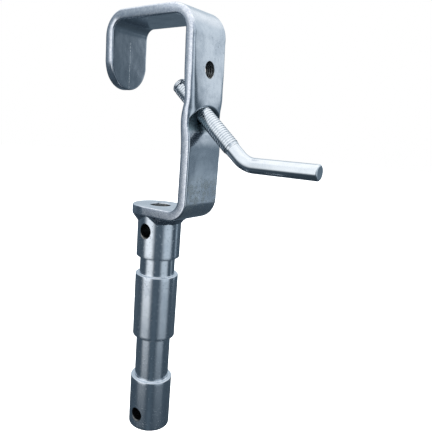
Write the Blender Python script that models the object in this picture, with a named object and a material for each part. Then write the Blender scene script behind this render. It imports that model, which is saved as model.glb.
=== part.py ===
"""Hook clamp with an L-bent clamping bolt and a 28 mm spigot, all in bright zinc-plated steel.

Frame: metres, +Z up. The origin is the middle of the flat inner face of the hook's top,
the face that sits on the pipe. +X points from the hook's lip to its leg and on to the
bolt's handle, and Y runs across the width of the bar, along the pipe.
"""
import math
import bpy
import bmesh
from mathutils import Vector, Matrix

MM = 0.001

# bar -----------------------------------------------------------------------------
BAR_W = 32.0            # width of the flat bar
BAR_T = 6.0             # thickness of the flat bar
BAR_CHAMFER = 0.8       # broken edges of the bar
HOOK_GAP = 55.4         # lip to leg, inside
LIP_LENGTH = 38.6       # pipe seat down to the end of the lip
END_R = 16.0            # both ends of the bar are full half rounds
BEND_LIP_IN, BEND_LIP_OUT = 6.0, 14.4
BEND_LEG_IN, BEND_LEG_OUT = 9.0, 16.5
BEND_FOOT_IN, BEND_FOOT_OUT = 7.0, 12.9
FOOT_TOP_Z = -108.4     # top face of the foot
FOOT_END_X = 1.6        # centre of the foot's half-round end

# leg stations below the top bend: (z, inner x, outer x); the leg leans out a little,
# then steps in around the slanted bore of the clamping bolt
LEG = (
    (-12.0, 27.70, 33.70),
    (-36.0, 28.90, 34.90),
    (-40.0, 29.45, 35.20),
    (-43.5, 29.70, 35.30),
    (-46.5, 29.45, 35.05),
    (-49.5, 28.80, 34.50),
    (-52.5, 28.25, 34.10),
    (-56.0, 28.05, 34.00),
    (-60.0, 28.25, 34.25),
    (-65.0, 28.80, 34.80),
    (-70.0, 29.20, 35.20),
    (-76.0, 29.30, 35.30),
)

# clamping bolt, M10 x 1.5 with a rolled thread ------------------------------------
BOLT_ANGLE = math.radians(40.7)     # below the horizontal, towards +X
BOLT_X0, BOLT_Z0 = 39.60, -57.95    # a point on the bolt's axis, s = 0
THREAD_R = 4.85
SHANK_R = 4.30
BORE_R = 5.02
TIP_S = -35.0                       # end of the bolt's plain point
TIP_LEN = 2.6
TIP_R = 4.0
TIP_CHAMFER = 0.8
THREAD_END_S = 18.0
HANDLE_Z = -77.9
HANDLE_END_X = 105.2
BEND_R = 15.0
GAP = 0.3                           # between pieces that touch

# holes in the bar -------------------------------------------------------------------
SIDE_HOLE_Z = -27.9
SIDE_HOLE_R = 4.25                  # tapping size of M10
FOOT_HOLE_R = 6.5

# spigot ----------------------------------------------------------------------------
SPIGOT_X = 4.1
SPIGOT_R = 14.0
GROOVE_R = 11.4
SPIGOT_BOTTOM = -263.0
LAND_1_TOP = -226.9
LAND_2_BOTTOM, LAND_2_TOP = -196.5, -153.6
LAND_3_BOTTOM = -141.8
SPIGOT_CHAMFER = 0.5
CROSS_HOLE_R = 4.2
CROSS_HOLE_Z = (-124.2, -252.4)

# weld under the foot ------------------------------------------------------------------
WELD_LEG = 4.6
WELD_GAPS = ((-8.0, 22.0),)         # degrees round from -Y towards +X left without weld
WELD_SPLIT = 180.0                  # the two beads also meet at the back

ZINC = (0.62, 0.66, 0.70, 1.0)
ZINC_BOLT = (0.66, 0.69, 0.72, 1.0)
ZINC_SPIGOT = (0.58, 0.62, 0.67, 1.0)
WELD_GREY = (0.42, 0.46, 0.52, 1.0)


def clear():
    for ob in list(bpy.data.objects):
        bpy.data.objects.remove(ob, do_unlink=True)


def material(name, colour, rough, metal=1.0):
    m = bpy.data.materials.new(name)
    m.use_nodes = True
    b = m.node_tree.nodes["Principled BSDF"]
    b.inputs["Base Color"].default_value = colour
    b.inputs["Roughness"].default_value = rough
    b.inputs["Metallic"].default_value = metal
    m.diffuse_color = colour
    return m


def obj(name, bm, mat, smooth_deg=35.0, origin=(0, 0, 0)):
    """Makes an object from a bmesh given in millimetres in the part's frame."""
    bmesh.ops.recalc_face_normals(bm, faces=bm.faces)
    o = Vector(origin)
    for v in bm.verts:
        v.co = (v.co - o) * MM
    me = bpy.data.meshes.new(name)
    bm.to_mesh(me)
    bm.free()
    if mat:
        me.materials.append(mat)
    me.shade_smooth()
    me.set_sharp_from_angle(angle=math.radians(smooth_deg))
    ob = bpy.data.objects.new(name, me)
    ob.location = o * MM
    bpy.context.scene.collection.objects.link(ob)
    return ob


def bar_section(inner, outer, hw, c):
    """Eight corners of the bar's section between an inner and an outer point."""
    a, b = Vector((inner[0], 0, inner[1])), Vector((outer[0], 0, outer[1]))
    n = (b - a).normalized()
    y = Vector((0, 1, 0))
    c2 = min(c, hw * 0.5)
    return [
        a + n * 0 - y * (hw - c2), a + n * 0 + y * (hw - c2),
        a + n * c + y * hw, b - n * c + y * hw,
        b + y * (hw - c2), b - y * (hw - c2),
        b - n * c - y * hw, a + n * c - y * hw,
    ]


def loft(sections):
    bm = bmesh.new()
    rings = [[bm.verts.new(p) for p in s] for s in sections]
    n = len(rings[0])
    for r0, r1 in zip(rings, rings[1:]):
        for i in range(n):
            j = (i + 1) % n
            bm.faces.new((r0[i], r0[j], r1[j], r1[i]))
    bm.faces.new(rings[0])
    bm.faces.new(list(reversed(rings[-1])))
    return bm


def arc(cx, cz, r, a0, a1, n):
    out = []
    for k in range(n + 1):
        a = math.radians(a0 + (a1 - a0) * k / n)
        out.append((cx + r * math.cos(a), cz + r * math.sin(a)))
    return out


def end_steps(n=10):
    """Distance from a half-round end, and half width there."""
    out = []
    for k in range(n):
        th = math.radians(5.0 + 85.0 * k / (n - 1))
        out.append((END_R * (1 - math.cos(th)), END_R * math.sin(th)))
    return out


def hook_bar(mat):
    xi, xo = HOOK_GAP / 2, HOOK_GAP / 2 + BAR_T
    w = BAR_W / 2
    st = []
    for d, hw in end_steps():
        z = -LIP_LENGTH + d
        st.append(((-xi, z), (-xo, z), hw))
    lip_in = arc(-xi + BEND_LIP_IN, -BEND_LIP_IN, BEND_LIP_IN, 180, 90, 10)
    lip_out = arc(-xo + BEND_LIP_OUT, BAR_T - BEND_LIP_OUT, BEND_LIP_OUT, 180, 90, 10)
    st += [(p, q, w) for p, q in zip(lip_in, lip_out)]
    leg_in = arc(xi - BEND_LEG_IN, -BEND_LEG_IN, BEND_LEG_IN, 90, 0, 10)
    leg_out = arc(xo - BEND_LEG_OUT, BAR_T - BEND_LEG_OUT, BEND_LEG_OUT, 90, 0, 10)
    st += [(p, q, w) for p, q in zip(leg_in, leg_out)]
    st += [((a, z), (b, z), w) for z, a, b in LEG]
    lx = LEG[-1][1]
    foot_in = arc(lx - BEND_FOOT_IN, FOOT_TOP_Z + BEND_FOOT_IN, BEND_FOOT_IN, 0, -90, 10)
    foot_out = arc(lx + BAR_T - BEND_FOOT_OUT, FOOT_TOP_Z - BAR_T + BEND_FOOT_OUT,
                   BEND_FOOT_OUT, 0, -90, 10)
    st += [(p, q, w) for p, q in zip(foot_in, foot_out)]
    for d, hw in reversed(end_steps()):
        x = FOOT_END_X - END_R + d
        st.append(((x, FOOT_TOP_Z), (x, FOOT_TOP_Z - BAR_T), hw))
    bm = loft([bar_section(p, q, hw, BAR_CHAMFER) for p, q, hw in st])
    return obj("hook_bar", bm, mat)


def along(s, x0=BOLT_X0, z0=BOLT_Z0):
    """A point on the bolt's slanted axis; s grows towards the handle."""
    return Vector((x0 + s * math.cos(BOLT_ANGLE), 0, z0 - s * math.sin(BOLT_ANGLE)))


def frame_for(direction):
    d = Vector(direction).normalized()
    return d.to_track_quat("Z", "Y").to_matrix()


def ring(centre, direction, r, n):
    m = frame_for(direction)
    return [Vector(centre) + m @ Vector((r * math.cos(2 * math.pi * k / n),
                                         r * math.sin(2 * math.pi * k / n), 0)) for k in range(n)]


def tube(stations, n=40):
    """Closed solid through round stations of (centre, direction, radius)."""
    return loft([ring(c, d, r, n) for c, d, r in stations])


def bolt(mat_bolt, mat_tip):
    d = along(1) - along(0)
    n = 40
    tip = tube([
        (along(TIP_S), d, TIP_R - TIP_CHAMFER),
        (along(TIP_S + TIP_CHAMFER), d, TIP_R),
        (along(TIP_S + TIP_LEN), d, TIP_R),
    ], n)
    tip_ob = obj("bolt_tip", tip, mat_tip, origin=along(TIP_S))

    bend_half = BEND_R * math.tan(BOLT_ANGLE / 2)
    s_meet = (BOLT_Z0 - HANDLE_Z) / math.sin(BOLT_ANGLE)
    s_bend = s_meet - bend_half
    start = along(s_bend)
    # centre of the bend: up and towards +X from the bolt's axis
    up = Vector((math.sin(BOLT_ANGLE), 0, math.cos(BOLT_ANGLE)))
    centre = start + up * BEND_R
    st = [
        (along(TIP_S + TIP_LEN + GAP), d, TIP_R),
        (along(TIP_S + TIP_LEN + GAP + 0.85), d, THREAD_R),
        (along(THREAD_END_S), d, THREAD_R),
        (along(THREAD_END_S + 0.8), d, SHANK_R),
    ]
    steps = 8
    for k in range(steps + 1):
        a = BOLT_ANGLE * (1 - k / steps)
        c = centre + Vector((-math.sin(a), 0, -math.cos(a))) * BEND_R
        st.append((c, Vector((math.cos(a), 0, -math.sin(a))), SHANK_R))
    h = Vector((1, 0, 0))
    st.append((Vector((HANDLE_END_X - 0.7, 0, HANDLE_Z)), h, SHANK_R))
    st.append((Vector((HANDLE_END_X, 0, HANDLE_Z)), h, SHANK_R - 0.7))
    return obj("clamp_bolt", tube(st, n), mat_bolt, origin=along(0)), tip_ob


def spigot(mat):
    c, r, g = SPIGOT_CHAMFER, SPIGOT_R, GROOVE_R
    top = FOOT_TOP_Z - BAR_T - GAP
    prof = [
        (0.0, SPIGOT_BOTTOM), (r - 0.8, SPIGOT_BOTTOM), (r, SPIGOT_BOTTOM + 0.8),
        (r, LAND_1_TOP - c), (r - c, LAND_1_TOP), (g, LAND_1_TOP),
        (g, LAND_2_BOTTOM), (r - c, LAND_2_BOTTOM), (r, LAND_2_BOTTOM + c),
        (r, LAND_2_TOP - c), (r - c, LAND_2_TOP), (g, LAND_2_TOP),
        (g, LAND_3_BOTTOM), (r - c, LAND_3_BOTTOM), (r, LAND_3_BOTTOM + c),
        (r, top), (0.0, top),
    ]
    bm = bmesh.new()
    verts = [bm.verts.new((SPIGOT_X + x, 0, z)) for x, z in prof]
    edges = [bm.edges.new((a, b)) for a, b in zip(verts, verts[1:])]
    bmesh.ops.spin(bm, geom=verts + edges, cent=(SPIGOT_X, 0, 0), axis=(0, 0, 1),
                   angle=2 * math.pi, steps=64, use_merge=True, use_duplicate=False)
    bmesh.ops.remove_doubles(bm, verts=bm.verts, dist=0.0005)
    return obj("spigot", bm, mat, origin=(SPIGOT_X, 0, SPIGOT_BOTTOM))


def foot_edge(phi):
    """Distance from the spigot's axis to the foot's edge, phi from -Y towards +X."""
    dx, dy = math.sin(phi), -math.cos(phi)
    w = BAR_W / 2
    best = 60.0
    if abs(dy) > 1e-6:
        t = w / abs(dy)
        if SPIGOT_X + dx * t >= FOOT_END_X:
            best = min(best, t)
    ex = SPIGOT_X - FOOT_END_X
    b = ex * dx
    disc = b * b - (ex * ex - END_R * END_R)
    if disc > 0:
        t = -b + math.sqrt(disc)
        if SPIGOT_X + dx * t < FOOT_END_X:
            best = min(best, t)
    return best


def weld(name, a0, a1, mat):
    top = FOOT_TOP_Z - BAR_T - GAP
    n = max(8, int((a1 - a0) / 5.0))
    sections = []
    for k in range(n + 1):
        t = k / n
        phi = math.radians(a0 + (a1 - a0) * t)
        # the bead swells from its start and tapers to its end
        grow = min(1.0, 0.45 + 3.5 * min(t, 1 - t))
        leg = WELD_LEG * grow
        ri = SPIGOT_R + GAP
        ro = min(ri + leg, foot_edge(phi) - 0.15)
        pts = [(ri, top), (ro, top), (ro - 0.25 * (ro - ri), top - 0.42 * leg),
               (ri + 0.30 * (ro - ri), top - 0.78 * leg), (ri, top - leg)]
        dx, dy = math.sin(phi), -math.cos(phi)
        sections.append([Vector((SPIGOT_X + dx * r, dy * r, z)) for r, z in pts])
    return obj(name, loft(sections), mat, smooth_deg=40.0, origin=(SPIGOT_X, 0, top))


def cutter(name, centre, direction, r, length, n=48):
    d = Vector(direction).normalized()
    c = Vector(centre)
    bm = tube([(c - d * length / 2, d, r), (c + d * length / 2, d, r)], n)
    ob = obj(name, bm, None)
    ob.hide_render = True
    ob.display_type = "WIRE"
    ob.hide_viewport = False
    return ob


def cut(target, tool):
    m = target.modifiers.new("cut_" + tool.name, "BOOLEAN")
    m.operation = "DIFFERENCE"
    m.solver = "EXACT"
    m.object = tool


def main():
    clear()
    zinc = material("zinc_plate", ZINC, 0.33)
    zinc_bolt = material("zinc_bolt", ZINC_BOLT, 0.22)
    zinc_tip = material("zinc_tip", ZINC_BOLT, 0.28)
    zinc_spigot = material("zinc_turned", ZINC_SPIGOT, 0.27)
    weld_mat = material("zinc_weld", WELD_GREY, 0.42)

    bar = hook_bar(zinc)
    d = along(1) - along(0)
    cut(bar, cutter("cutter_bolt_bore", along(-9.0), d, BORE_R, 40.0))
    lean = Vector((LEG[1][2] - LEG[0][2], 0, LEG[1][0] - LEG[0][0])).normalized()
    face_n = Vector((-lean.z, 0, lean.x))
    f = (SIDE_HOLE_Z - LEG[0][0]) / (LEG[1][0] - LEG[0][0])
    x_mid = LEG[0][1] + (LEG[1][1] - LEG[0][1]) * f + BAR_T / 2
    cut(bar, cutter("cutter_side_hole", (x_mid, 0, SIDE_HOLE_Z), face_n, SIDE_HOLE_R, 20.0))
    cut(bar, cutter("cutter_foot_hole", (SPIGOT_X, 0, FOOT_TOP_Z - BAR_T / 2), (0, 0, 1), FOOT_HOLE_R, 20.0))

    sp = spigot(zinc_spigot)
    for i, z in enumerate(CROSS_HOLE_Z):
        cut(sp, cutter("cutter_cross_%d" % (i + 1), (SPIGOT_X, 0, z), (0, 1, 0), CROSS_HOLE_R, 40.0))

    gap0, gap1 = WELD_GAPS[0]
    half = math.degrees(GAP / (SPIGOT_R + 2.0)) / 2
    weld("weld_bead_right", gap1, WELD_SPLIT - half, weld_mat)
    weld("weld_bead_left", WELD_SPLIT + half, 360.0 + gap0, weld_mat)
    bolt(zinc_bolt, zinc_tip)


main()
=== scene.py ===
import math

import bmesh
import bpy
import numpy as np
from mathutils import Matrix, Vector, noise


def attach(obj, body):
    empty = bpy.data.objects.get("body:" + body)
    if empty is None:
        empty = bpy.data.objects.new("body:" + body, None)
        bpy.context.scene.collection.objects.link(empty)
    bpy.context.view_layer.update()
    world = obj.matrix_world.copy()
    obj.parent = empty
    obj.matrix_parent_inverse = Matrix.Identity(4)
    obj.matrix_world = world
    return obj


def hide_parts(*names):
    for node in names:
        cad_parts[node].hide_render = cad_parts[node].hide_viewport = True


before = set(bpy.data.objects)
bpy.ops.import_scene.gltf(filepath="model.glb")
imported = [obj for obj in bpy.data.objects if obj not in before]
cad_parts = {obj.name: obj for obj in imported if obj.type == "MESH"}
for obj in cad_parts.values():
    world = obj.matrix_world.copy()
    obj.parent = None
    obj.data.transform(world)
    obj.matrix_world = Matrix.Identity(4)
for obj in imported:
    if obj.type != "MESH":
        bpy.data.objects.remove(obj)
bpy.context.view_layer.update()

# All lengths below are in millimetres, in the part's own frame: the origin is the middle of the hook's
# seat, +X runs from the lip to the leg, +Z is up. Meshes are turned into metres as they are made.
MM = 0.001

BAR_W = 32.0
HALF_W = BAR_W / 2
BOLT_ANGLE = math.radians(40.7)
COS_B, SIN_B = math.cos(BOLT_ANGLE), math.sin(BOLT_ANGLE)
BOLT_X0, BOLT_Z0 = 39.60, -57.95
THREAD_R, SHANK_R, MINOR_R = 4.85, 4.30, 4.42
PITCH = 1.5
TIP_S, TIP_LEN = -35.0, 2.6
THREAD_END_S = 18.0
HANDLE_Z, HANDLE_END_X = -77.9, 105.2
BEND_R = 15.0
SPIGOT_X, SPIGOT_R, GROOVE_R = 4.1, 14.0, 11.4
SPIGOT_BOTTOM = -263.0
LAND_1_TOP, LAND_2_BOTTOM, LAND_2_TOP, LAND_3_BOTTOM = -226.9, -196.5, -153.6, -141.8
FOOT_TOP, FOOT_BOTTOM = -108.4, -114.4
SPIGOT_TOP = -114.7
CROSS_Z = (-124.2, -252.4)
CROSS_R = 4.2
SIDE_HOLE_Z = -27.9
FOOT_END_X = 1.6


# ------------------------------------------------------------------ mesh helpers

def clean_mesh(name, verts, faces, mats, idx=None):
    me = bpy.data.meshes.new(name)
    me.from_pydata([tuple(c * MM for c in v) for v in verts], [], faces)
    for m in mats:
        me.materials.append(m)
    if idx is not None:
        me.polygons.foreach_set("material_index", np.array(idx, np.int32))
    bm = bmesh.new()
    bm.from_mesh(me)
    bmesh.ops.remove_doubles(bm, verts=bm.verts, dist=1e-7)
    bmesh.ops.recalc_face_normals(bm, faces=bm.faces)
    bm.to_mesh(me)
    bm.free()
    ob = bpy.data.objects.new(name, me)
    bpy.context.scene.collection.objects.link(ob)
    return ob


def finish_shading(ob, degrees):
    me = ob.data
    me.shade_smooth()
    me.set_sharp_from_angle(angle=math.radians(degrees))


def subtract(ob, tools, degrees):
    """Cuts the tools out of ob, one after the other, and removes them."""
    for t in tools:
        m = ob.modifiers.new("cut", "BOOLEAN")
        m.operation = "DIFFERENCE"
        m.solver = "EXACT"
        m.material_mode = "TRANSFER"
        m.object = t
    dg = bpy.context.evaluated_depsgraph_get()
    dg.update()
    me = bpy.data.meshes.new_from_object(ob.evaluated_get(dg), depsgraph=dg)
    old = ob.data
    ob.modifiers.clear()
    me.name = old.name
    ob.data = me
    bpy.data.meshes.remove(old)
    for t in tools:
        d = t.data
        bpy.data.objects.remove(t)
        bpy.data.meshes.remove(d)
    bm = bmesh.new()
    bm.from_mesh(ob.data)
    bmesh.ops.remove_doubles(bm, verts=bm.verts, dist=2e-6)
    bmesh.ops.dissolve_degenerate(bm, edges=bm.edges, dist=1e-6)
    bm.to_mesh(ob.data)
    bm.free()
    finish_shading(ob, degrees)


def hermite(xs, ys, x):
    """Smooth curve through the points (xs, ys), xs rising."""
    xs, ys = np.asarray(xs, float), np.asarray(ys, float)
    m = np.gradient(ys, xs)
    x = np.clip(np.asarray(x, float), xs[0], xs[-1])
    i = np.clip(np.searchsorted(xs, x) - 1, 0, len(xs) - 2)
    h = xs[i + 1] - xs[i]
    t = (x - xs[i]) / h
    return ((2 * t**3 - 3 * t**2 + 1) * ys[i] + (t**3 - 2 * t**2 + t) * h * m[i]
            + (3 * t**2 - 2 * t**3) * ys[i + 1] + (t**3 - t**2) * h * m[i + 1])


def loft_grid(rings, closed=True):
    """Vertices and faces of a skin through rings of equal count, with fans over both ends."""
    n = len(rings[0])
    verts = [tuple(p) for r in rings for p in r]
    faces = []
    for i in range(len(rings) - 1):
        for j in range(n if closed else n - 1):
            a, b = i * n + j, i * n + (j + 1) % n
            faces.append((a, b, b + n, a + n))
    for i, flip in ((0, True), (len(rings) - 1, False)):
        ring = list(range(i * n, i * n + n))
        c = np.mean([verts[k] for k in ring], axis=0)
        verts.append(tuple(c))
        k = len(verts) - 1
        for j in range(n):
            a, b = ring[j], ring[(j + 1) % n]
            faces.append((b, a, k) if flip else (a, b, k))
    return verts, faces


def smooth01(t):
    t = max(0.0, min(1.0, t))
    return t * t * (3 - 2 * t)


# ------------------------------------------------------------------ materials

def srgb(v):
    return tuple((c / 12.92 if c <= 0.04045 else ((c + 0.055) / 1.055) ** 2.4) for c in v)


class Nodes:
    """Short names for building a node tree."""

    def __init__(self, tree):
        self.t = tree
        self.n = tree.nodes
        self.l = tree.links
        self.n.clear()

    def add(self, kind, **kw):
        nd = self.n.new(kind)
        for k, v in kw.items():
            setattr(nd, k, v)
        return nd

    def put(self, sock, val):
        if isinstance(val, bpy.types.NodeSocket):
            self.l.new(val, sock)
        else:
            if sock.type == "RGBA" and len(val) == 3:
                val = (*val, 1.0)
            sock.default_value = val

    def math(self, op, a, b=0.0, c=0.0, clamp=False):
        nd = self.add("ShaderNodeMath", operation=op, use_clamp=clamp)
        self.put(nd.inputs[0], a)
        self.put(nd.inputs[1], b)
        if op in ("MULTIPLY_ADD", "COMPARE", "SMOOTH_MIN", "SMOOTH_MAX"):
            self.put(nd.inputs[2], c)
        return nd.outputs[0]

    def ramp(self, val, lo, hi, to_lo=0.0, to_hi=1.0, smooth=True):
        nd = self.add("ShaderNodeMapRange", interpolation_type="SMOOTHSTEP" if smooth else "LINEAR")
        self.put(nd.inputs["Value"], val)
        self.put(nd.inputs["From Min"], lo)
        self.put(nd.inputs["From Max"], hi)
        self.put(nd.inputs["To Min"], to_lo)
        self.put(nd.inputs["To Max"], to_hi)
        return nd.outputs["Result"]

    def mix(self, f, a, b):
        nd = self.add("ShaderNodeMix", data_type="RGBA")
        self.put(nd.inputs[0], f)
        self.put(nd.inputs[6], a)
        self.put(nd.inputs[7], b)
        return nd.outputs[2]

    def noise(self, vec, scale, detail=2.0, rough=0.5, distortion=0.0):
        nd = self.add("ShaderNodeTexNoise")
        self.put(nd.inputs["Vector"], vec)
        nd.inputs["Scale"].default_value = scale
        nd.inputs["Detail"].default_value = detail
        nd.inputs["Roughness"].default_value = rough
        nd.inputs["Distortion"].default_value = distortion
        return nd.outputs["Fac"]

    def stretch(self, vec, s):
        nd = self.add("ShaderNodeMapping")
        self.put(nd.inputs["Vector"], vec)
        nd.inputs["Scale"].default_value = s
        return nd.outputs["Vector"]

    def bump(self, height, distance, strength=1.0, normal=None):
        nd = self.add("ShaderNodeBump")
        nd.inputs["Strength"].default_value = strength
        nd.inputs["Distance"].default_value = distance
        self.put(nd.inputs["Height"], height)
        if normal is not None:
            self.put(nd.inputs["Normal"], normal)
        return nd.outputs["Normal"]


def zinc_material(name, light, dark, rough=(0.08, 0.16), clouds=70.0, cloud_mix=0.5, grain=0.004,
                  pits=0.0, pit_scale=900.0, pit_colour=(0.10, 0.12, 0.17), wave=0.0, turned=None,
                  scratch=0.35, sparkle=0.0, seam=False, flecks=0.0, leg=False):
    """Bright zinc plating: blue-white metal with clouded tone, fine crystalline grain and faint scratches."""
    mat = bpy.data.materials.new(name)
    mat.use_nodes = True
    k = Nodes(mat.node_tree)
    out = k.add("ShaderNodeOutputMaterial")
    bsdf = k.add("ShaderNodeBsdfPrincipled")
    k.l.new(bsdf.outputs[0], out.inputs[0])
    bsdf.inputs["Metallic"].default_value = 1.0
    co = k.add("ShaderNodeTexCoord").outputs["Object"]

    cloud = k.noise(co, clouds, 5.0, 0.55, 0.4)
    speck = k.noise(co, 1700.0, 2.0, 0.6)
    medium = k.noise(co, 420.0, 3.0, 0.6)
    tone = k.math("ADD", k.math("MULTIPLY", cloud, 0.72), k.math("MULTIPLY", medium, 0.28))
    colour = k.mix(k.math("MULTIPLY", k.ramp(tone, 0.38, 0.62), cloud_mix), light, dark)
    colour = k.mix(k.math("MULTIPLY", k.ramp(speck, 0.56, 0.74), 0.25), colour,
                   tuple(min(1.0, c * 1.18) for c in light))
    rgh = k.ramp(tone, 0.34, 0.66, rough[0], rough[1])
    rgh = k.math("ADD", rgh, k.ramp(speck, 0.3, 0.75, -0.02, 0.03))
    height = k.math("MULTIPLY", speck, 0.5)
    height = k.math("ADD", height, k.math("MULTIPLY", k.noise(co, 5200.0, 1.0), 0.35))
    scr = k.noise(k.stretch(co, (160.0, 2600.0, 160.0)), 1.0, 2.0, 0.6)
    scr2 = k.noise(k.stretch(co, (2400.0, 210.0, 900.0)), 1.0, 2.0, 0.6)
    scrs = k.math("ADD", k.ramp(scr, 0.60, 0.72), k.ramp(scr2, 0.62, 0.74))
    height = k.math("SUBTRACT", height, k.math("MULTIPLY", scrs, scratch))
    if pits:
        pit = k.noise(co, pit_scale, 2.5, 0.62)
        hole = k.ramp(pit, 0.49, 0.37)
        colour = k.mix(k.math("MULTIPLY", hole, pits), colour, pit_colour)
        rgh = k.math("ADD", rgh, k.math("MULTIPLY", hole, 0.12))
        height = k.math("SUBTRACT", height, k.math("MULTIPLY", hole, 1.4))
    if flecks:
        # small dark stains scattered over the plating, thicker in some areas than in others
        fl = k.ramp(k.noise(co, 1250.0, 1.5, 0.5), 0.655, 0.72)
        where = k.ramp(k.noise(co, 60.0, 2.0), 0.42, 0.62, 0.25, 1.0)
        fl = k.math("MULTIPLY", fl, where)
        colour = k.mix(k.math("MULTIPLY", fl, flecks), colour, tuple(c * 0.28 for c in dark))
        rgh = k.math("ADD", rgh, k.math("MULTIPLY", fl, 0.15))
    nrm = k.bump(height, grain * MM)
    if leg:
        # the pressed-in pocket round the bolt is rougher and painted dark teal, which is painted shade and painted dark
        # reflection under the bolt; the foot of the leg is stained
        sx = k.add("ShaderNodeSeparateXYZ")
        k.put(sx.inputs[0], co)
        arch = k.math("POWER", k.math("ABSOLUTE", k.math("MULTIPLY", sx.outputs[1], 1 / (14.8 * MM))), 2.3)
        rim = k.math("MULTIPLY_ADD", arch, -6.4 * MM, -47.2 * MM)
        rim = k.math("ADD", rim, k.math("MULTIPLY", k.math("SUBTRACT", medium, 0.5), 1.2 * MM))
        below = k.math("SUBTRACT", rim, sx.outputs[2])
        pocket_shade_mask = k.math("MULTIPLY", k.ramp(below, 0.2 * MM, 1.5 * MM), k.ramp(sx.outputs[2], -63.2 * MM, -60.5 * MM))
        pocket_shade_mask = k.math("MULTIPLY", pocket_shade_mask, k.ramp(sx.outputs[0], 30.2 * MM, 30.8 * MM))
        # painted shade: the dark teal stands in for the shade and dark reflection in the pocket under the bolt
        pocket_shade_teal = k.mix(k.ramp(tone, 0.42, 0.58), (0.10, 0.155, 0.185), (0.20, 0.28, 0.31))
        colour = k.mix(k.math("MULTIPLY", pocket_shade_mask, 0.88), colour, pocket_shade_teal)
        rgh = k.math("ADD", rgh, k.math("MULTIPLY", pocket_shade_mask, 0.24))
        low = k.math("MULTIPLY", k.ramp(sx.outputs[2], -84 * MM, -94 * MM), k.ramp(sx.outputs[0], 30.2 * MM, 30.8 * MM))
        spots = k.ramp(k.noise(co, 330.0, 4.0, 0.7), 0.44, 0.60)
        colour = k.mix(k.math("MULTIPLY", k.math("MULTIPLY", low, spots), 0.55), colour, (0.86, 0.86, 0.80))
        rgh = k.math("ADD", rgh, k.math("MULTIPLY", k.math("MULTIPLY", low, spots), 0.16))
        dots = k.ramp(k.noise(co, 1500.0, 2.0, 0.6), 0.60, 0.68)
        colour = k.mix(k.math("MULTIPLY", k.math("MULTIPLY", low, dots), 0.8), colour, (0.12, 0.14, 0.17))
    if sparkle:
        spk = k.add("ShaderNodeTexVoronoi", feature="F1")
        k.put(spk.inputs["Vector"], co)
        spk.inputs["Scale"].default_value = 900.0
        dot = k.ramp(spk.outputs["Distance"], 0.10, 0.34, 1.0, 0.0)
        pick = k.noise(co, 700.0, 1.0)
        dot = k.math("MULTIPLY", dot, k.ramp(pick, 0.46, 0.62))
        nrm = k.bump(dot, sparkle * MM, 1.0, nrm)
        rgh = k.math("ADD", rgh, k.math("MULTIPLY", dot, 0.08))
    if wave:
        nrm = k.bump(k.noise(co, 95.0, 2.0, 0.5, 0.3), wave * MM, 1.0, nrm)
    if turned:
        line = k.noise(k.stretch(co, (6.0, 6.0, 5200.0)), 1.0, 2.0, 0.7)
        coarse = k.noise(k.stretch(co, (3.0, 3.0, 900.0)), 1.0, 2.0, 0.6)
        nrm = k.bump(k.math("ADD", line, coarse), turned * MM, 1.0, nrm)
        rgh = k.math("ADD", rgh, k.ramp(coarse, 0.3, 0.7, -0.02, 0.03))
    if seam:
        # a faint drawing line down the middle of the bar's inner face
        sep = k.add("ShaderNodeSeparateXYZ")
        k.put(sep.inputs[0], co)
        drift = k.math("MULTIPLY", k.math("SUBTRACT", k.noise(k.stretch(co, (0.0, 0.0, 120.0)), 1.0, 2.0), 0.5), 0.9 * MM)
        off = k.math("ABSOLUTE", k.math("ADD", sep.outputs[1], drift))
        line = k.ramp(off, 0.10 * MM, 0.30 * MM, 1.0, 0.0)
        line = k.math("MULTIPLY", line, k.ramp(sep.outputs[0], -26.5 * MM, -27.4 * MM))
        line = k.math("MULTIPLY", line, k.ramp(sep.outputs[2], -8.0 * MM, -12.0 * MM))
        dash = k.ramp(k.noise(k.stretch(co, (900.0, 900.0, 900.0)), 1.0, 2.0), 0.40, 0.58)
        line = k.math("MULTIPLY", line, dash)
        colour = k.mix(k.math("MULTIPLY", line, 0.8), colour, (0.95, 0.95, 0.95))
        rgh = k.math("ADD", rgh, k.math("MULTIPLY", line, 0.35))
        nrm = k.bump(line, 0.03 * MM, 1.0, nrm)
    k.l.new(colour, bsdf.inputs["Base Color"])
    k.l.new(rgh, bsdf.inputs["Roughness"])
    k.l.new(nrm, bsdf.inputs["Normal"])
    return mat


# leg=True adds the painted shade in the pocket round the bolt and the stained foot of the leg
M_FACE = zinc_material("zinc_plate", (0.73, 0.76, 0.80), (0.50, 0.55, 0.61), rough=(0.11, 0.19),
                       clouds=75.0, cloud_mix=0.6, grain=0.0030, wave=0.055, seam=True, flecks=0.55, leg=True)
M_EDGE = zinc_material("zinc_edge", (0.80, 0.82, 0.86), (0.46, 0.50, 0.60), rough=(0.10, 0.18),
                       clouds=820.0, cloud_mix=0.62, grain=0.0032, pits=0.12, pit_scale=1500.0,
                       pit_colour=(0.22, 0.26, 0.36), wave=0.02, flecks=0.25)
M_SPIGOT = zinc_material("zinc_turned", (0.70, 0.74, 0.79), (0.48, 0.54, 0.61), rough=(0.13, 0.21),
                         clouds=55.0, cloud_mix=0.40, grain=0.0026, turned=0.0012, wave=0.015, sparkle=0.050,
                         flecks=0.6)
M_BOLT = zinc_material("zinc_bolt", (0.74, 0.77, 0.80), (0.54, 0.59, 0.65), rough=(0.07, 0.12),
                       clouds=120.0, cloud_mix=0.35, grain=0.0012, wave=0.008)
M_WELD = zinc_material("zinc_weld", (0.62, 0.66, 0.72), (0.30, 0.34, 0.42), rough=(0.16, 0.28),
                       clouds=240.0, cloud_mix=0.7, grain=0.012, pits=0.35, pit_scale=700.0, wave=0.10)
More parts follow.
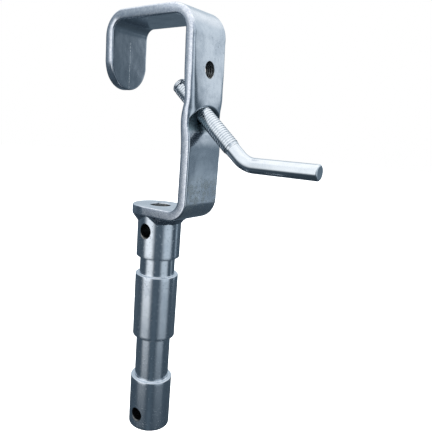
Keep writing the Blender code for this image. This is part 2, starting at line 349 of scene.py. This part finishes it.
# Hole walls: very dark and rough, partly the duller bare metal of drilled and tapped holes, partly painted shade of the
# holes' dark insides
M_BORE_BARE_AND_SHADE = zinc_material("zinc_bore_bare_and_shade", (0.22, 0.22, 0.215), (0.07, 0.075, 0.08), rough=(0.24, 0.36),
                       clouds=300.0, cloud_mix=0.8, grain=0.006, pits=0.5, pit_scale=900.0,
                       pit_colour=(0.05, 0.05, 0.05))


# ------------------------------------------------------------------ the hook bar

LEG = [(-9.0, 27.70, 33.70), (-12.0, 27.70, 33.70), (-18.0, 27.95, 33.95), (-36.0, 28.90, 34.90),
       (-40.0, 29.45, 35.20), (-43.5, 29.70, 35.30), (-46.5, 29.45, 35.05), (-49.5, 28.80, 34.50),
       (-52.5, 28.25, 34.10), (-56.0, 28.05, 34.00), (-60.0, 28.25, 34.25), (-65.0, 28.80, 34.80),
       (-70.0, 29.20, 35.20), (-76.0, 29.30, 35.30), (-102.0, 29.30, 35.30)]
LEG_Z = [-r[0] for r in LEG]
LEG_IN = [r[1] for r in LEG]
LEG_OUT = [r[2] for r in LEG]

PRESS_V = [0.0, 0.05, 0.12, 0.22, 0.36, 0.50, 0.64, 0.78, 0.90, 1.0]
PRESS_F = [0.0, 0.10, 0.38, 0.74, 0.98, 1.00, 0.86, 0.52, 0.16, 0.0]


def rim_z(y):
    return -47.2 - 6.4 * (abs(y) / 14.8) ** 2.3


def pressed_out(y, z):
    """How far the outer face is pressed in (-) or raised (+) round the clamping bolt.

    Above an arched rim the face goes on leaning outwards; below it a pocket is pressed in, which ends on a
    level line under the bolt."""
    if z > -36 or z < -72:
        return 0.0
    zr = rim_z(y)
    side = max(0.0, 1 - (abs(y) / 15.6) ** 3.0)
    base = float(hermite(LEG_Z, LEG_OUT, -z))
    lean = 34.9 + 0.062 * (-36.0 - z)
    up = max(0.0, lean - base) * side
    if z >= zr:
        return up
    zb = -63.0 + 1.2 * (y / 15.0) ** 2
    v = (zr - z) / (zr - zb)
    up_r = max(0.0, 34.9 + 0.062 * (-36.0 - zr) - float(hermite(LEG_Z, LEG_OUT, -zr))) * side
    if v >= 1:
        return 0.0
    deep = 3.7 * max(0.0, 1 - (abs(y) / 15.4) ** 2.6)
    return up_r * (1 - smooth01(v / 0.20)) - deep * float(hermite(PRESS_V, PRESS_F, v))


def pressed_in(y, z):
    a = max(0.0, 1 - (abs(y) / 15.6) ** 2) ** 1.4
    return -3.3 * a * math.exp(-(((z + 56.0) / 7.5) ** 2))


def bar_stations():
    st = []
    for k in range(12):
        t = k / 12
        st.append(((-27.7, -22.6 + 16.6 * t), (-33.7, -22.6 + 14.2 * t), "lip"))
    for k in range(21):
        a = math.radians(180 - 90 * k / 20)
        st.append(((-21.7 + 6 * math.cos(a), -6 + 6 * math.sin(a)),
                   (-19.3 + 14.4 * math.cos(a), -8.4 + 14.4 * math.sin(a)), "bend1"))
    for k in range(1, 24):
        t = k / 24
        st.append(((-21.7 + 40.4 * t, 0.0), (-19.3 + 36.5 * t, 6.0), "top"))
    for k in range(25):
        a = math.radians(90 - 90 * k / 24)
        st.append(((18.7 + 9 * math.cos(a), -9 + 9 * math.sin(a)),
                   (17.2 + 16.5 * math.cos(a), -10.5 + 16.5 * math.sin(a)), "bend2"))
    zs = list(np.arange(-11.0, -34.0, -2.0)) + list(np.arange(-34.0, -44.0, -0.8)) + list(np.arange(-44.0, -66.0, -0.36)) + list(np.arange(-66.0, -78.0, -0.8)) + list(np.arange(-78.0, -101.0, -2.0))
    for zi in zs:
        zo = -10.5 + (zi + 9.0) * (-101.5 + 10.5) / (-101.4 + 9.0)
        st.append(((float(hermite(LEG_Z, LEG_IN, -zi)), zi), (float(hermite(LEG_Z, LEG_OUT, -zo)), zo), "leg"))
    for k in range(21):
        a = math.radians(-90 * k / 20)
        st.append(((22.3 + 7 * math.cos(a), -101.4 + 7 * math.sin(a)),
                   (22.4 + 12.9 * math.cos(a), -101.5 + 12.9 * math.sin(a)), "bend3"))
    for k in range(1, 13):
        t = k / 12
        st.append(((22.3 - 20.7 * t, FOOT_TOP), (22.4 - 20.8 * t, FOOT_BOTTOM), "foot"))
    return st


def edge_ease(side, kind, x, z):
    if side == "in":
        if kind in ("lip", "bend1"):
            return 1.0
        if kind == "top":
            return 1.0 - 0.75 * smooth01((x - 2) / 18)
        return 0.2
    if kind == "bend2":
        return 1.0
    if kind == "leg":
        return 1.15 - 0.85 * smooth01((-z - 49) / 4)
    if kind == "top":
        return 0.10 + 0.90 * smooth01((x - 4) / 16)
    if kind in ("lip", "bend1"):
        return 0.10
    return 0.2


def corner_radius(side, kind, z):
    if side == "out":
        if kind in ("leg", "bend2") and z > -60:
            return 1.25
        if kind in ("lip", "bend1", "top"):
            return 0.85
        return 0.95
    return 0.8


def waviness(p, amount, scale):
    v = Vector((p[0] / scale, p[1] / scale, p[2] / scale))
    return amount * noise.noise(v)


def build_hook():
    st = bar_stations()
    ns = len(st)
    rows, corner_n = 26, 5
    cap_n = 28

    def offsets(r):
        """(inset from the outline, depth below the face) for each ring, from the centre line out."""
        out = [((HALF_W - 0.0) - (HALF_W - r) * j / rows, 0.0) for j in range(rows + 1)]
        for q in range(1, corner_n + 1):
            a = math.radians(90 - 90 * q / corner_n)
            out.append((r - r * math.cos(a), r - r * math.sin(a)))
        return out

    nr = rows + 1 + corner_n
    verts, index = [], {}

    def point(side, kind, pin, pout, y, depth, extend=None):
        """extend moves the point past a half-round end."""
        n = Vector((pout[0] - pin[0], pout[1] - pin[1]))
        thick = n.length
        n = n / thick
        base = Vector(pout) - n * depth if side == "out" else Vector(pin) + n * depth
        if extend is not None:
            base = base + Vector(extend)
        x, z = base
        if kind == "leg":
            x += pressed_out(y, z) if side == "out" else pressed_in(y, z)
            if side == "out":
                # the long faces are a little crowned, as a rolled bar is
                x += 0.20 * (1 - (y / HALF_W) ** 2) * smooth01((-z - 10) / 12)
                roll = smooth01((-z - 26) / 16) * (1 - smooth01((-z - 58) / 8))
                x -= 0.75 * roll * max(0.0, (abs(y) - 10.5) / 5.5) ** 2.2
        w = waviness((x, y, z), 0.05, 9.0) + waviness((x + 50, y, z), 0.02, 3.2)
        fade = smooth01((HALF_W - abs(y)) / 3.0)
        if kind == "lip" or kind == "foot":
            fade = 1.0
        s = 1.0 if side == "out" else -1.0
        x += n[0] * w * s * fade
        z += n[1] * w * s * fade
        return (x, y, z)

    def eased(p, side, kind, depth):
        """The narrow side leans in before its corner: outwards on the leg, inwards round the lip and top."""
        amount = edge_ease(side, kind, p[0], p[2])
        inset = 0.60 * amount * max(0.0, 1 - depth / 3.3) ** 2
        g = smooth01((abs(p[1]) - 13.2) / 2.2)
        return (p[0], p[1] - math.copysign(inset * g, p[1]), p[2])

    def vert(key, p):
        if key not in index:
            index[key] = len(verts)
            verts.append(p)
        return index[key]

    faces, mats = [], []
    for side in ("out", "in"):
        offs_cache = {}
        # straight columns
        for i, (pin, pout, kind) in enumerate(st):
            z = pout[1] if side == "out" else pin[1]
            r = corner_radius(side, kind, z)
            for sgn in (-1, 1):
                for j, (inset, depth) in enumerate(offsets(r)):
                    if j == 0:
                        vert((side, "c", i), point(side, kind, pin, pout, 0.0, 0.0))
                    else:
                        pt = point(side, kind, pin, pout, sgn * (HALF_W - inset), depth)
                        pt = eased(pt, side, kind, depth)
                        vert((side, sgn, i, j), pt)
        # half-round ends
        for end, i, step in (("a", 0, (0.0, -1.0)), ("b", ns - 1, (-1.0, 0.0))):
            pin, pout, kind = st[i]
            r = corner_radius(side, kind, -30)
            for j, (inset, depth) in enumerate(offsets(r)):
                rho = HALF_W - inset
                for q in range(1, cap_n):
                    a = math.pi * q / cap_n
                    cut = math.sin(a)
                    cut = 1 - 0.13 * cut * (1 - cut) ** 2 / max(0.2, math.cos(a) ** 2 + cut * 0.8)
                    if j:
                        vert((side, end, q, j),
                             point(side, kind, pin, pout, -rho * cut * math.cos(a), depth,
                                   (step[0] * rho * math.sin(a), step[1] * rho * math.sin(a))))

        def col(sgn, i, j):
            return index[(side, "c", i)] if j == 0 else index[(side, sgn, i, j)]

        def cap(end, i, q, j):
            if j == 0:
                return index[(side, "c", i)]
            if q == 0:
                return index[(side, -1, i, j)]
            if q == cap_n:
                return index[(side, 1, i, j)]
            return index[(side, end, q, j)]

        for i in range(ns - 1):
            for sgn in (-1, 1):
                for j in range(nr - 1):
                    faces.append((col(sgn, i, j), col(sgn, i + 1, j), col(sgn, i + 1, j + 1), col(sgn, i, j + 1)))
                    mats.append(0 if j < rows + 2 else 1)
        for end, i in (("a", 0), ("b", ns - 1)):
            for q in range(cap_n):
                for j in range(nr - 1):
                    f = [cap(end, i, q, j), cap(end, i, q + 1, j), cap(end, i, q + 1, j + 1), cap(end, i, q, j + 1)]
                    f = list(dict.fromkeys(f))
                    faces.append(tuple(f))
                    mats.append(0 if j < rows + 2 else 1)

    # the narrow side that joins the two faces, all the way round
    def outline(side):
        j = nr - 1
        loop = [index[(side, -1, i, j)] for i in range(ns)]
        loop += [index[(side, "b", q, j)] for q in range(1, cap_n)]
        loop += [index[(side, 1, i, j)] for i in range(ns - 1, -1, -1)]
        loop += [index[(side, "a", q, j)] for q in range(cap_n - 1, 0, -1)]
        return loop

    lo, li = outline("out"), outline("in")
    m = len(lo)
    steps = 8
    layers = [lo]
    for k in range(1, steps):
        t = k / steps
        layer = []
        for q, (a, b) in enumerate(zip(lo, li)):
            pa, pb = Vector(verts[a]), Vector(verts[b])
            p = pa.lerp(pb, t)
            if q < ns or ns + cap_n - 1 <= q < 2 * ns + cap_n - 1:
                # the lean of either corner is taken up again towards the middle of the narrow side
                io, ii = HALF_W - abs(pa.y), HALF_W - abs(pb.y)
                p.y = math.copysign(HALF_W - io * max(0.0, 1 - 1.75 * t) ** 2 - ii * max(0.0, 1 - 1.75 * (1 - t)) ** 2,
                                    p.y)
            # sheared edge: bulges or hollows by a few hundredths
            out = Vector((0, math.copysign(1, p.y) if abs(p.y) > 15.5 else 0, 0))
            p += out * (waviness((p.x, p.y, p.z), 0.030, 2.8) + waviness((p.x + 9, p.y, p.z), 0.012, 1.1))
            if abs(p.y) > HALF_W:
                p.y = math.copysign(HALF_W, p.y)
            layer.append(vert(("w", k, len(layer)), tuple(p)))
        layers.append(layer)
    layers.append(li)
    for la, lb in zip(layers, layers[1:]):
        for a in range(m):
            b = (a + 1) % m
            faces.append((la[a], la[b], lb[b], lb[a]))
            mats.append(1)
    ob = clean_mesh("hook_bar_forged", verts, faces, [M_FACE, M_EDGE], mats)
    return ob


def helix_r(w, theta, minor, major, pitch, fade):
    """Radius of a 60-degree thread with flat crest and root at length w and angle theta."""
    f = (w / pitch - theta / (2 * math.pi)) % 1.0
    d = abs(f - 0.5) * 2            # 1 in the middle of the root, 0 in the middle of the crest
    t = max(0.0, min(1.0, (0.88 - d) / 0.30))
    t = t * t * (3 - 2 * t) * 0.35 + t * 0.65
    return minor + (major - minor) * t * fade


def lathe_cutter(name, centre, direction, samples, n=56, mat=None):
    """Closed cutter whose radius at length w and angle theta is samples(w, theta)."""
    d = Vector(direction).normalized()
    e1 = Vector((0, 1, 0))
    e2 = d.cross(e1).normalized()
    rings = []
    for w, fn in samples:
        ring = []
        for j in range(n):
            th = 2 * math.pi * j / n
            r = fn(w, th)
            p = Vector(centre) + d * w + (e1 * math.cos(th) + e2 * math.sin(th)) * r
            ring.append(tuple(p))
        rings.append(ring)
    verts, faces = loft_grid(rings)
    return clean_mesh(name, verts, faces, [])


def along(s):
    return Vector((BOLT_X0 + s * COS_B, 0, BOLT_Z0 - s * SIN_B))


hook = build_hook()

# the spare tapped hole above the bolt
side_dir = Vector((0.998752, 0, 0.049938))
side_mid = Vector((31.45, 0, SIDE_HOLE_Z))
half = 3.05
samples = []
for w in np.arange(-half - 2.0, half + 2.01, PITCH / 14):
    def fn(w, th, _h=half):
        flare = max(0.0, abs(w) - _h + 0.30)
        r = helix_r(w, th, 4.20, 4.85, PITCH, 1.0)
        return max(r, 4.20 + flare * 1.2) if flare > 0 else r
    samples.append((float(w), fn))
side_cut = lathe_cutter("side_cut", side_mid, side_dir, samples, 56, M_BORE_BARE_AND_SHADE)

bore = lathe_cutter("bore_cut", along(-11.0), along(1) - along(0),
                    [(-13.0, lambda w, t: 5.02), (13.0, lambda w, t: 5.02)], 72, M_BORE_BARE_AND_SHADE)
foot_cut = lathe_cutter("foot_cut", (SPIGOT_X, 0, -111.4), (0, 0, 1),
                        [(-6.0, lambda w, t: 6.5), (2.35, lambda w, t: 6.5),
                         (2.6, lambda w, t: 6.62), (3.6, lambda w, t: 7.6), (4.6, lambda w, t: 8.6)], 80, M_BORE_BARE_AND_SHADE)
subtract(hook, [side_cut, bore, foot_cut], 32)


def in_bore(c):
    """Whether a face centre lies on the wall of one of the bar's three holes."""
    d = c - along(-11.0)
    ax = Vector((COS_B, 0, -SIN_B))
    if abs((d - ax * d.dot(ax)).length - 5.02) < 0.04 and abs(d.dot(ax)) < 13:
        return True
    d = c - side_mid
    if (d - side_dir * d.dot(side_dir)).length < 5.05 and abs(d.dot(side_dir)) < 3.0:
        return True
    d = c - Vector((SPIGOT_X, 0, 0))
    return math.hypot(d.x, d.y) < 6.56 and FOOT_BOTTOM + 0.02 < c.z < FOOT_TOP - 0.05


# the walls of the bar's three holes take the dark bore material, with its painted shade
me = hook.data
while len(me.materials) < 3:
    me.materials.append(M_BORE_BARE_AND_SHADE)
me.materials[2] = M_BORE_BARE_AND_SHADE
for poly in me.polygons:
    on_top = abs(poly.normal.z) > 0.6 and poly.center.z / MM < FOOT_TOP + 1
    if in_bore(poly.center / MM) and not on_top:
        poly.material_index = 2
    elif poly.material_index == 2:
        poly.material_index = 0
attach(hook, "frame")
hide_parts("hook_bar")


# ------------------------------------------------------------------ the spigot

def build_spigot():
    prof = []

    def arc_corner(cr, cz, r, a0, a1, n=4):
        for k in range(n + 1):
            a = math.radians(a0 + (a1 - a0) * k / n)
            prof.append((cr + r * math.cos(a), cz + r * math.sin(a)))

    R, G = SPIGOT_R, GROOVE_R
    prof.append((0.0, SPIGOT_BOTTOM))
    prof.append((6.0, SPIGOT_BOTTOM))
    arc_corner(R - 1.0, SPIGOT_BOTTOM + 1.0, 1.0, -90, 0, 6)

    def run(z0, z1, r, n):
        for k in range(1, n):
            prof.append((r, z0 + (z1 - z0) * k / n))

    run(SPIGOT_BOTTOM + 1.0, LAND_1_TOP - 0.5, R, 24)
    arc_corner(R - 0.5, LAND_1_TOP - 0.5, 0.5, 0, 90)
    prof.append((G + 0.35, LAND_1_TOP))
    arc_corner(G + 0.35, LAND_1_TOP + 0.35, 0.35, 270, 180, 3)
    run(LAND_1_TOP + 0.35, LAND_2_BOTTOM - 0.35, G, 20)
    arc_corner(G + 0.35, LAND_2_BOTTOM - 0.35, 0.35, 180, 90, 3)
    arc_corner(R - 0.5, LAND_2_BOTTOM + 0.5, 0.5, -90, 0)
    run(LAND_2_BOTTOM + 0.5, LAND_2_TOP - 0.5, R, 24)
    arc_corner(R - 0.5, LAND_2_TOP - 0.5, 0.5, 0, 90)
    arc_corner(G + 0.35, LAND_2_TOP + 0.35, 0.35, 270, 180, 3)
    run(LAND_2_TOP + 0.35, LAND_3_BOTTOM - 0.35, G, 8)
    arc_corner(G + 0.35, LAND_3_BOTTOM - 0.35, 0.35, 180, 90, 3)
    arc_corner(R - 0.5, LAND_3_BOTTOM + 0.5, 0.5, -90, 0)
    run(LAND_3_BOTTOM + 0.5, SPIGOT_TOP, R, 18)
    prof.append((R, SPIGOT_TOP))
    prof.append((6.0, SPIGOT_TOP))
    prof.append((0.0, SPIGOT_TOP))
    n = 144
    verts, faces = [], []
    bottom, top = 0, 1
    verts.append((SPIGOT_X, 0, prof[0][1]))
    verts.append((SPIGOT_X, 0, prof[-1][1]))
    body = prof[1:-1]
    for r, z in body:
        for j in range(n):
            th = 2 * math.pi * j / n
            verts.append((SPIGOT_X + r * math.cos(th), r * math.sin(th), z))
    for i in range(len(body) - 1):
        for j in range(n):
            a, b = 2 + i * n + j, 2 + i * n + (j + 1) % n
            faces.append((a, b, b + n, a + n))
    last = 2 + (len(body) - 1) * n
    for j in range(n):
        faces.append((bottom, 2 + (j + 1) % n, 2 + j))
        faces.append((top, last + j, last + (j + 1) % n))
    return clean_mesh("spigot_turned", verts, faces, [M_SPIGOT])


spigot = build_spigot()

# the cross holes' walls take the dark bore material, with its painted shade, from these cutters
def y_cutter(name, centre, n=64):
    rings = []
    for w in [-16.0, -14.0, -13.5, -13.15, -6.0, 0.0, 6.0, 13.15, 13.5, 14.0, 16.0]:
        r = CROSS_R + max(0.0, abs(w) - 13.15)
        rings.append([(centre[0] + r * math.cos(2 * math.pi * j / n), centre[1] + w,
                       centre[2] + r * math.sin(2 * math.pi * j / n)) for j in range(n)])
    verts, faces = loft_grid(rings)
    return clean_mesh(name, verts, faces, [M_BORE_BARE_AND_SHADE])


cutters = [y_cutter("cross_%d" % k, (SPIGOT_X, 0, z)) for k, z in enumerate(CROSS_Z)]
subtract(spigot, cutters, 32)
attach(spigot, "frame")
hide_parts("spigot")


# ------------------------------------------------------------------ the clamping bolt

def bolt_path():
    """(length from the thread's start, point, tangent, thread strength) along the bolt."""
    out = []
    s0 = TIP_S + TIP_LEN + 0.05
    s = s0
    while s < THREAD_END_S + 1.2:
        fade = smooth01((s - s0) / 1.6) * smooth01((THREAD_END_S + 0.6 - s) / 2.2)
        out.append((s - s0, along(s), Vector((COS_B, 0, -SIN_B)), fade, s))
        s += PITCH / 16
    half_l = BEND_R * math.tan(BOLT_ANGLE / 2)
    s_meet = (BOLT_Z0 - HANDLE_Z) / SIN_B
    s_bend = s_meet - half_l
    m = max(2, int((s_bend - s) / 1.0))
    for k in range(m):
        q = s + (s_bend - s) * k / m
        out.append((q - s0, along(q), Vector((COS_B, 0, -SIN_B)), 0.0, q))
    up = Vector((SIN_B, 0, COS_B))
    centre = along(s_bend) + up * BEND_R
    steps = 22
    for k in range(steps + 1):
        a = BOLT_ANGLE * (1 - k / steps)
        c = centre + Vector((-math.sin(a), 0, -math.cos(a))) * BEND_R
        q = s_bend + BEND_R * (BOLT_ANGLE - a)
        out.append((q - s0, c, Vector((math.cos(a), 0, -math.sin(a))), 0.0, q))
    x0 = out[-1][1].x
    q0 = out[-1][4]
    n = 26
    for k in range(1, n + 1):
        x = x0 + (HANDLE_END_X - 0.7 - x0) * k / n
        out.append((q0 + x - x0 - s0, Vector((x, 0, HANDLE_Z)), Vector((1, 0, 0)), 0.0, q0 + x - x0))
    return out


def build_bolt():
    n = 56
    path = bolt_path()
    rings = []
    for w, c, t, fade, s in path:
        e1 = Vector((0, 1, 0))
        e2 = t.cross(e1).normalized()
        ring = []
        in_thread = s < THREAD_END_S + 0.6
        for j in range(n):
            th = 2 * math.pi * j / n
            if in_thread:
                # pitch diameter stock: the run-out rises to the shank
                r = helix_r(s, th, MINOR_R, THREAD_R, PITCH, fade)
                if s > THREAD_END_S - 2.2:
                    r = max(r, MINOR_R + (SHANK_R - MINOR_R) * smooth01((s - THREAD_END_S + 2.2) / 2.2))
            else:
                r = SHANK_R
                r -= 0.03 * (1 - noise.noise(Vector((c.x / 6, math.cos(th) * 0.8, math.sin(th) * 0.8 + c.z / 6)))) * 0.6
            ring.append(tuple(c + (e1 * math.cos(th) + e2 * math.sin(th)) * r))
        rings.append(ring)
    # chamfered flat end, slightly dished by the saw
    for dx, dr in ((0.18, 0.10), (0.45, 0.36), (0.64, 0.60), (0.70, 0.78), (0.66, 1.6), (0.62, 2.9)):
        c = Vector((HANDLE_END_X - 0.7 + dx, 0, HANDLE_Z))
        e1, e2 = Vector((0, 1, 0)), Vector((1, 0, 0)).cross(Vector((0, 1, 0)))
        rings.append([tuple(c + (e1 * math.cos(2 * math.pi * j / n) + e2 * math.sin(2 * math.pi * j / n)) * (SHANK_R - dr))
                      for j in range(n)])
    verts, faces = loft_grid(rings)
    ob = clean_mesh("clamp_bolt_rolled", verts, faces, [M_BOLT])
    finish_shading(ob, 38)
    return ob


def build_tip():
    n = 56
    d = Vector((COS_B, 0, -SIN_B))
    e1 = Vector((0, 1, 0))
    e2 = d.cross(e1).normalized()
    rings = []
    # a short chamfer, then what is left of the first thread grooves
    for s, r in ((0.05, 1.4), (0.0, 2.4), (0.0, 3.3), (0.08, 3.66), (0.25, 3.95), (0.55, 4.28), (0.80, 4.36),
                 (0.95, 4.40), (1.08, 4.66), (1.20, 4.74), (1.62, 4.74), (1.72, 4.68), (1.84, 4.42), (2.0, 4.38),
                 (2.14, 4.42), (2.28, 4.68), (2.38, 4.74), (2.6, 4.74)):
        c = along(TIP_S + s)
        rings.append([tuple(c + (e1 * math.cos(2 * math.pi * j / n) + e2 * math.sin(2 * math.pi * j / n)) * r)
                      for j in range(n)])
    verts, faces = loft_grid(rings)
    ob = clean_mesh("bolt_tip_turned", verts, faces, [M_BOLT])
    finish_shading(ob, 38)
    return ob


bolt = build_bolt()
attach(bolt, "clamp_screw")
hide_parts("clamp_bolt")
tip = build_tip()
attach(tip, "bolt_point")
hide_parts("bolt_tip")


# ------------------------------------------------------------------ the weld

def foot_edge(phi):
    dx, dy = math.sin(phi), -math.cos(phi)
    best = 60.0
    if abs(dy) > 1e-6:
        t = HALF_W / abs(dy)
        if SPIGOT_X + dx * t >= FOOT_END_X:
            best = min(best, t)
    ex = SPIGOT_X - FOOT_END_X
    b = ex * dx
    disc = b * b - (ex * ex - HALF_W * HALF_W)
    if disc > 0:
        t = -b + math.sqrt(disc)
        if SPIGOT_X + dx * t < FOOT_END_X:
            best = min(best, t)
    return best


def build_weld(name, a0, a1, seed, lead=0.0, tail=0.0):
    """A fillet run under the foot from angle a0 to a1; lead and tail are the degrees over which it fades in and out."""
    top = FOOT_BOTTOM - 0.02
    n = int((a1 - a0) / 1.0)
    m = 16
    rings = []
    for k in range(n + 1):
        t = k / n
        deg = a0 + (a1 - a0) * t
        phi = math.radians(deg)
        grow = 1.0
        if lead:
            grow *= 0.10 + 0.90 * smooth01((deg - a0) / lead) ** 0.8
        if tail:
            grow *= 0.10 + 0.90 * smooth01((a1 - deg) / tail) ** 0.8
        # the run was laid in overlapping ripples, each a little crescent
        ri = SPIGOT_R - 0.05
        wob = noise.noise(Vector((deg / 14.0, seed + 3, 0)))
        leg = (4.55 + 0.55 * wob + 0.25 * noise.noise(Vector((deg / 4.0, seed, 5)))) * grow
        edge = foot_edge(phi) - 0.12
        ro = ri + max(0.25, min(4.6, edge - ri)) * (0.35 + 0.65 * grow)
        width = ro - ri
        ring = [(ri - 0.5, top), (ro, top)]
        for q in range(1, m):
            f = q / m
            r = ri + width * (1 - f) ** 1.12
            z = top - leg * f ** 0.94
            lag = 5.5 * math.sin(math.pi * f)          # ripples bow forwards in the middle
            ph = (deg + lag) * 2 * math.pi / 5.4 + 1.4 * noise.noise(Vector((deg / 8, seed, 1)))
            rip = 0.11 * (abs(math.sin(ph / 2)) - 0.5) * math.sin(math.pi * min(1.0, f * 1.05)) * grow
            toe = 0.20 * math.exp(-(((f - 0.90) / 0.07) ** 2)) * grow
            lump = 0.10 * noise.noise(Vector((deg / 3.0, f * 4, seed + 9))) * grow
            ring.append((r + rip + toe + lump, z))
        ring += [(ri, top - leg - 0.05), (ri - 0.5, top - leg - 0.05)]
        dx, dy = math.sin(phi), -math.cos(phi)
        rings.append([(SPIGOT_X + dx * r, dy * r, z) for r, z in ring])
    verts, faces = loft_grid(rings)
    ob = clean_mesh(name, verts, faces, [M_WELD])
    finish_shading(ob, 50)
    return ob


weld_r = build_weld("weld_run_right", 5.0, 179.8, 1.0, lead=30.0)
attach(weld_r, "frame")
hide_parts("weld_bead_right")
weld_l = build_weld("weld_run_left", -179.8, 1.0, 7.0, tail=42.0)
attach(weld_l, "frame")
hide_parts("weld_bead_left")


# ------------------------------------------------------------------ studio

# A plain studio: an even grey room that gets lighter towards a soft ceiling, and a few large soft-edged panels and
# dark flags of one grey each. Angles are in degrees, azimuth from -Y towards +X; greys run from 0 to 1.
ROOM_GREYS = [(-60, 0.22), (-15, 0.32), (5, 0.48), (25, 0.78), (48, 0.96), (90, 0.98)]
PANELS = [
    # azimuth from, to, elevation from, to, soft edge, grey
    (-34, 12, -24, 78, 24, 0.93),     # key panel in front
    (66, 112, -24, 44, 26, 0.76),     # side panel
    (141, 156, 4, 60, 9, 0.80),       # rear panel, high
    (140, 152, -17, -4, 8, 0.62),     # rear panel, low
    (28, 48, -60, 6, 20, 0.34),       # flag between key and side panel
    (116, 138, -50, 14, 12, 0.30),    # flag behind the hook
    (-72, -50, -60, 22, 12, 0.30),    # flag on the left
    (-160, -100, 4, 44, 20, 0.74),    # fill behind
]


def cool(g):
    """A grey, a little blue where it is dark."""
    t = 1.0 - g
    return (g * (1 - 0.28 * t), g * (1 - 0.06 * t), g * (1 + 0.12 * t))


def build_world():
    world = bpy.data.worlds.new("studio")
    bpy.context.scene.world = world
    world.use_nodes = True
    k = Nodes(world.node_tree)
    out = k.add("ShaderNodeOutputWorld")
    co = k.add("ShaderNodeTexCoord").outputs["Generated"]
    sep = k.add("ShaderNodeSeparateXYZ")
    k.put(sep.inputs[0], co)
    az = k.math("ARCTAN2", sep.outputs[0], k.math("MULTIPLY", sep.outputs[1], -1.0))
    az = k.math("MULTIPLY", az, 180 / math.pi)
    el = k.math("MULTIPLY", k.math("ARCSINE", sep.outputs[2]), 180 / math.pi)
    col = srgb(cool(ROOM_GREYS[0][1]))
    for (e0, _), (e1, g) in zip(ROOM_GREYS, ROOM_GREYS[1:]):
        col = k.mix(k.ramp(el, e0, e1), col, srgb(cool(g)))
    for a0, a1, e0, e1, soft, g in PANELS:
        h = soft / 2
        mask = k.math("MULTIPLY", k.ramp(az, a0 - h, a0 + h), k.ramp(az, a1 + h, a1 - h))
        mask = k.math("MULTIPLY", mask, k.math("MULTIPLY", k.ramp(el, e0 - h, e0 + h), k.ramp(el, e1 + h, e1 - h)))
        col = k.mix(mask, col, srgb(cool(g)))
    lp = k.add("ShaderNodeLightPath")
    gain = k.add("ShaderNodeVectorMath", operation="SCALE")
    k.put(gain.inputs[0], col)
    gain.inputs["Scale"].default_value = 1.42
    seen = k.mix(lp.outputs["Is Camera Ray"], gain.outputs[0], (1.0, 1.0, 1.0))
    bg = k.add("ShaderNodeBackground")
    k.put(bg.inputs["Color"], seen)
    bg.inputs["Strength"].default_value = 1.0
    k.l.new(bg.outputs[0], out.inputs[0])


build_world()

scene = bpy.context.scene
floor_mat = bpy.data.materials.new("pale_floor")
floor_mat.use_nodes = True
fkn = Nodes(floor_mat.node_tree)
fo = fkn.add("ShaderNodeOutputMaterial")
fb = fkn.add("ShaderNodeBsdfPrincipled")
fco = fkn.add("ShaderNodeTexCoord").outputs["Object"]
fkn.l.new(fkn.mix(fkn.noise(fco, 3.0, 3.0), (0.93, 0.93, 0.93), (0.97, 0.97, 0.97)), fb.inputs["Base Color"])
fb.inputs["Roughness"].default_value = 0.9
fb.inputs["Emission Color"].default_value = (1, 1, 1, 1)
fb.inputs["Emission Strength"].default_value = 0.75
fkn.l.new(fb.outputs[0], fo.inputs[0])
bm = bmesh.new()
bmesh.ops.create_circle(bm, cap_ends=True, radius=6.0, segments=96)
fm = bpy.data.meshes.new("floor")
bm.to_mesh(fm)
bm.free()
fm.materials.append(floor_mat)
floor = bpy.data.objects.new("floor", fm)
scene.collection.objects.link(floor)
floor.location = (0, 0, -0.40)
floor.visible_glossy = False


def area(name, loc, target, size, power, colour=(1, 1, 1)):
    data = bpy.data.lights.new(name, "AREA")
    data.shape = "RECTANGLE"
    data.size, data.size_y = size
    data.energy = power
    data.color = colour
    ob = bpy.data.objects.new(name, data)
    scene.collection.objects.link(ob)
    ob.location = loc
    ob.rotation_mode = "QUATERNION"
    ob.rotation_quaternion = (Vector(target) - Vector(loc)).to_track_quat("-Z", "Y")
    return ob


over = area("overhead", (0.0, -0.2, 1.7), (0, 0, -0.2), (2.4, 2.4), 26)
over.visible_glossy = False

# ------------------------------------------------------------------ camera

cam_data = bpy.data.cameras.new("camera")
cam = bpy.data.objects.new("camera", cam_data)
scene.collection.objects.link(cam)
right = Vector((0.7742084539869482, 0.6301614098361227, 0.059142770720433176))
down = Vector((0.1892398706789115, -0.14129937266240528, -0.9717112527035174))
fwd = Vector((-0.6039780965569599, 0.7634992369600384, -0.2286468325625149))
cam.matrix_world = Matrix((
    (right.x, -down.x, -fwd.x, 0.195977),
    (right.y, -down.y, -fwd.y, -0.231658),
    (right.z, -down.z, -fwd.z, -0.060156),
    (0, 0, 0, 1)))
cam_data.sensor_width = 36.0
cam_data.lens = 39.747
cam_data.shift_x = 0.1085
cam_data.shift_y = 0.0538
cam_data.clip_start = 0.01
cam_data.clip_end = 50.0
scene.camera = cam
scene.view_settings.view_transform = "Standard"
scene.view_settings.look = "None"
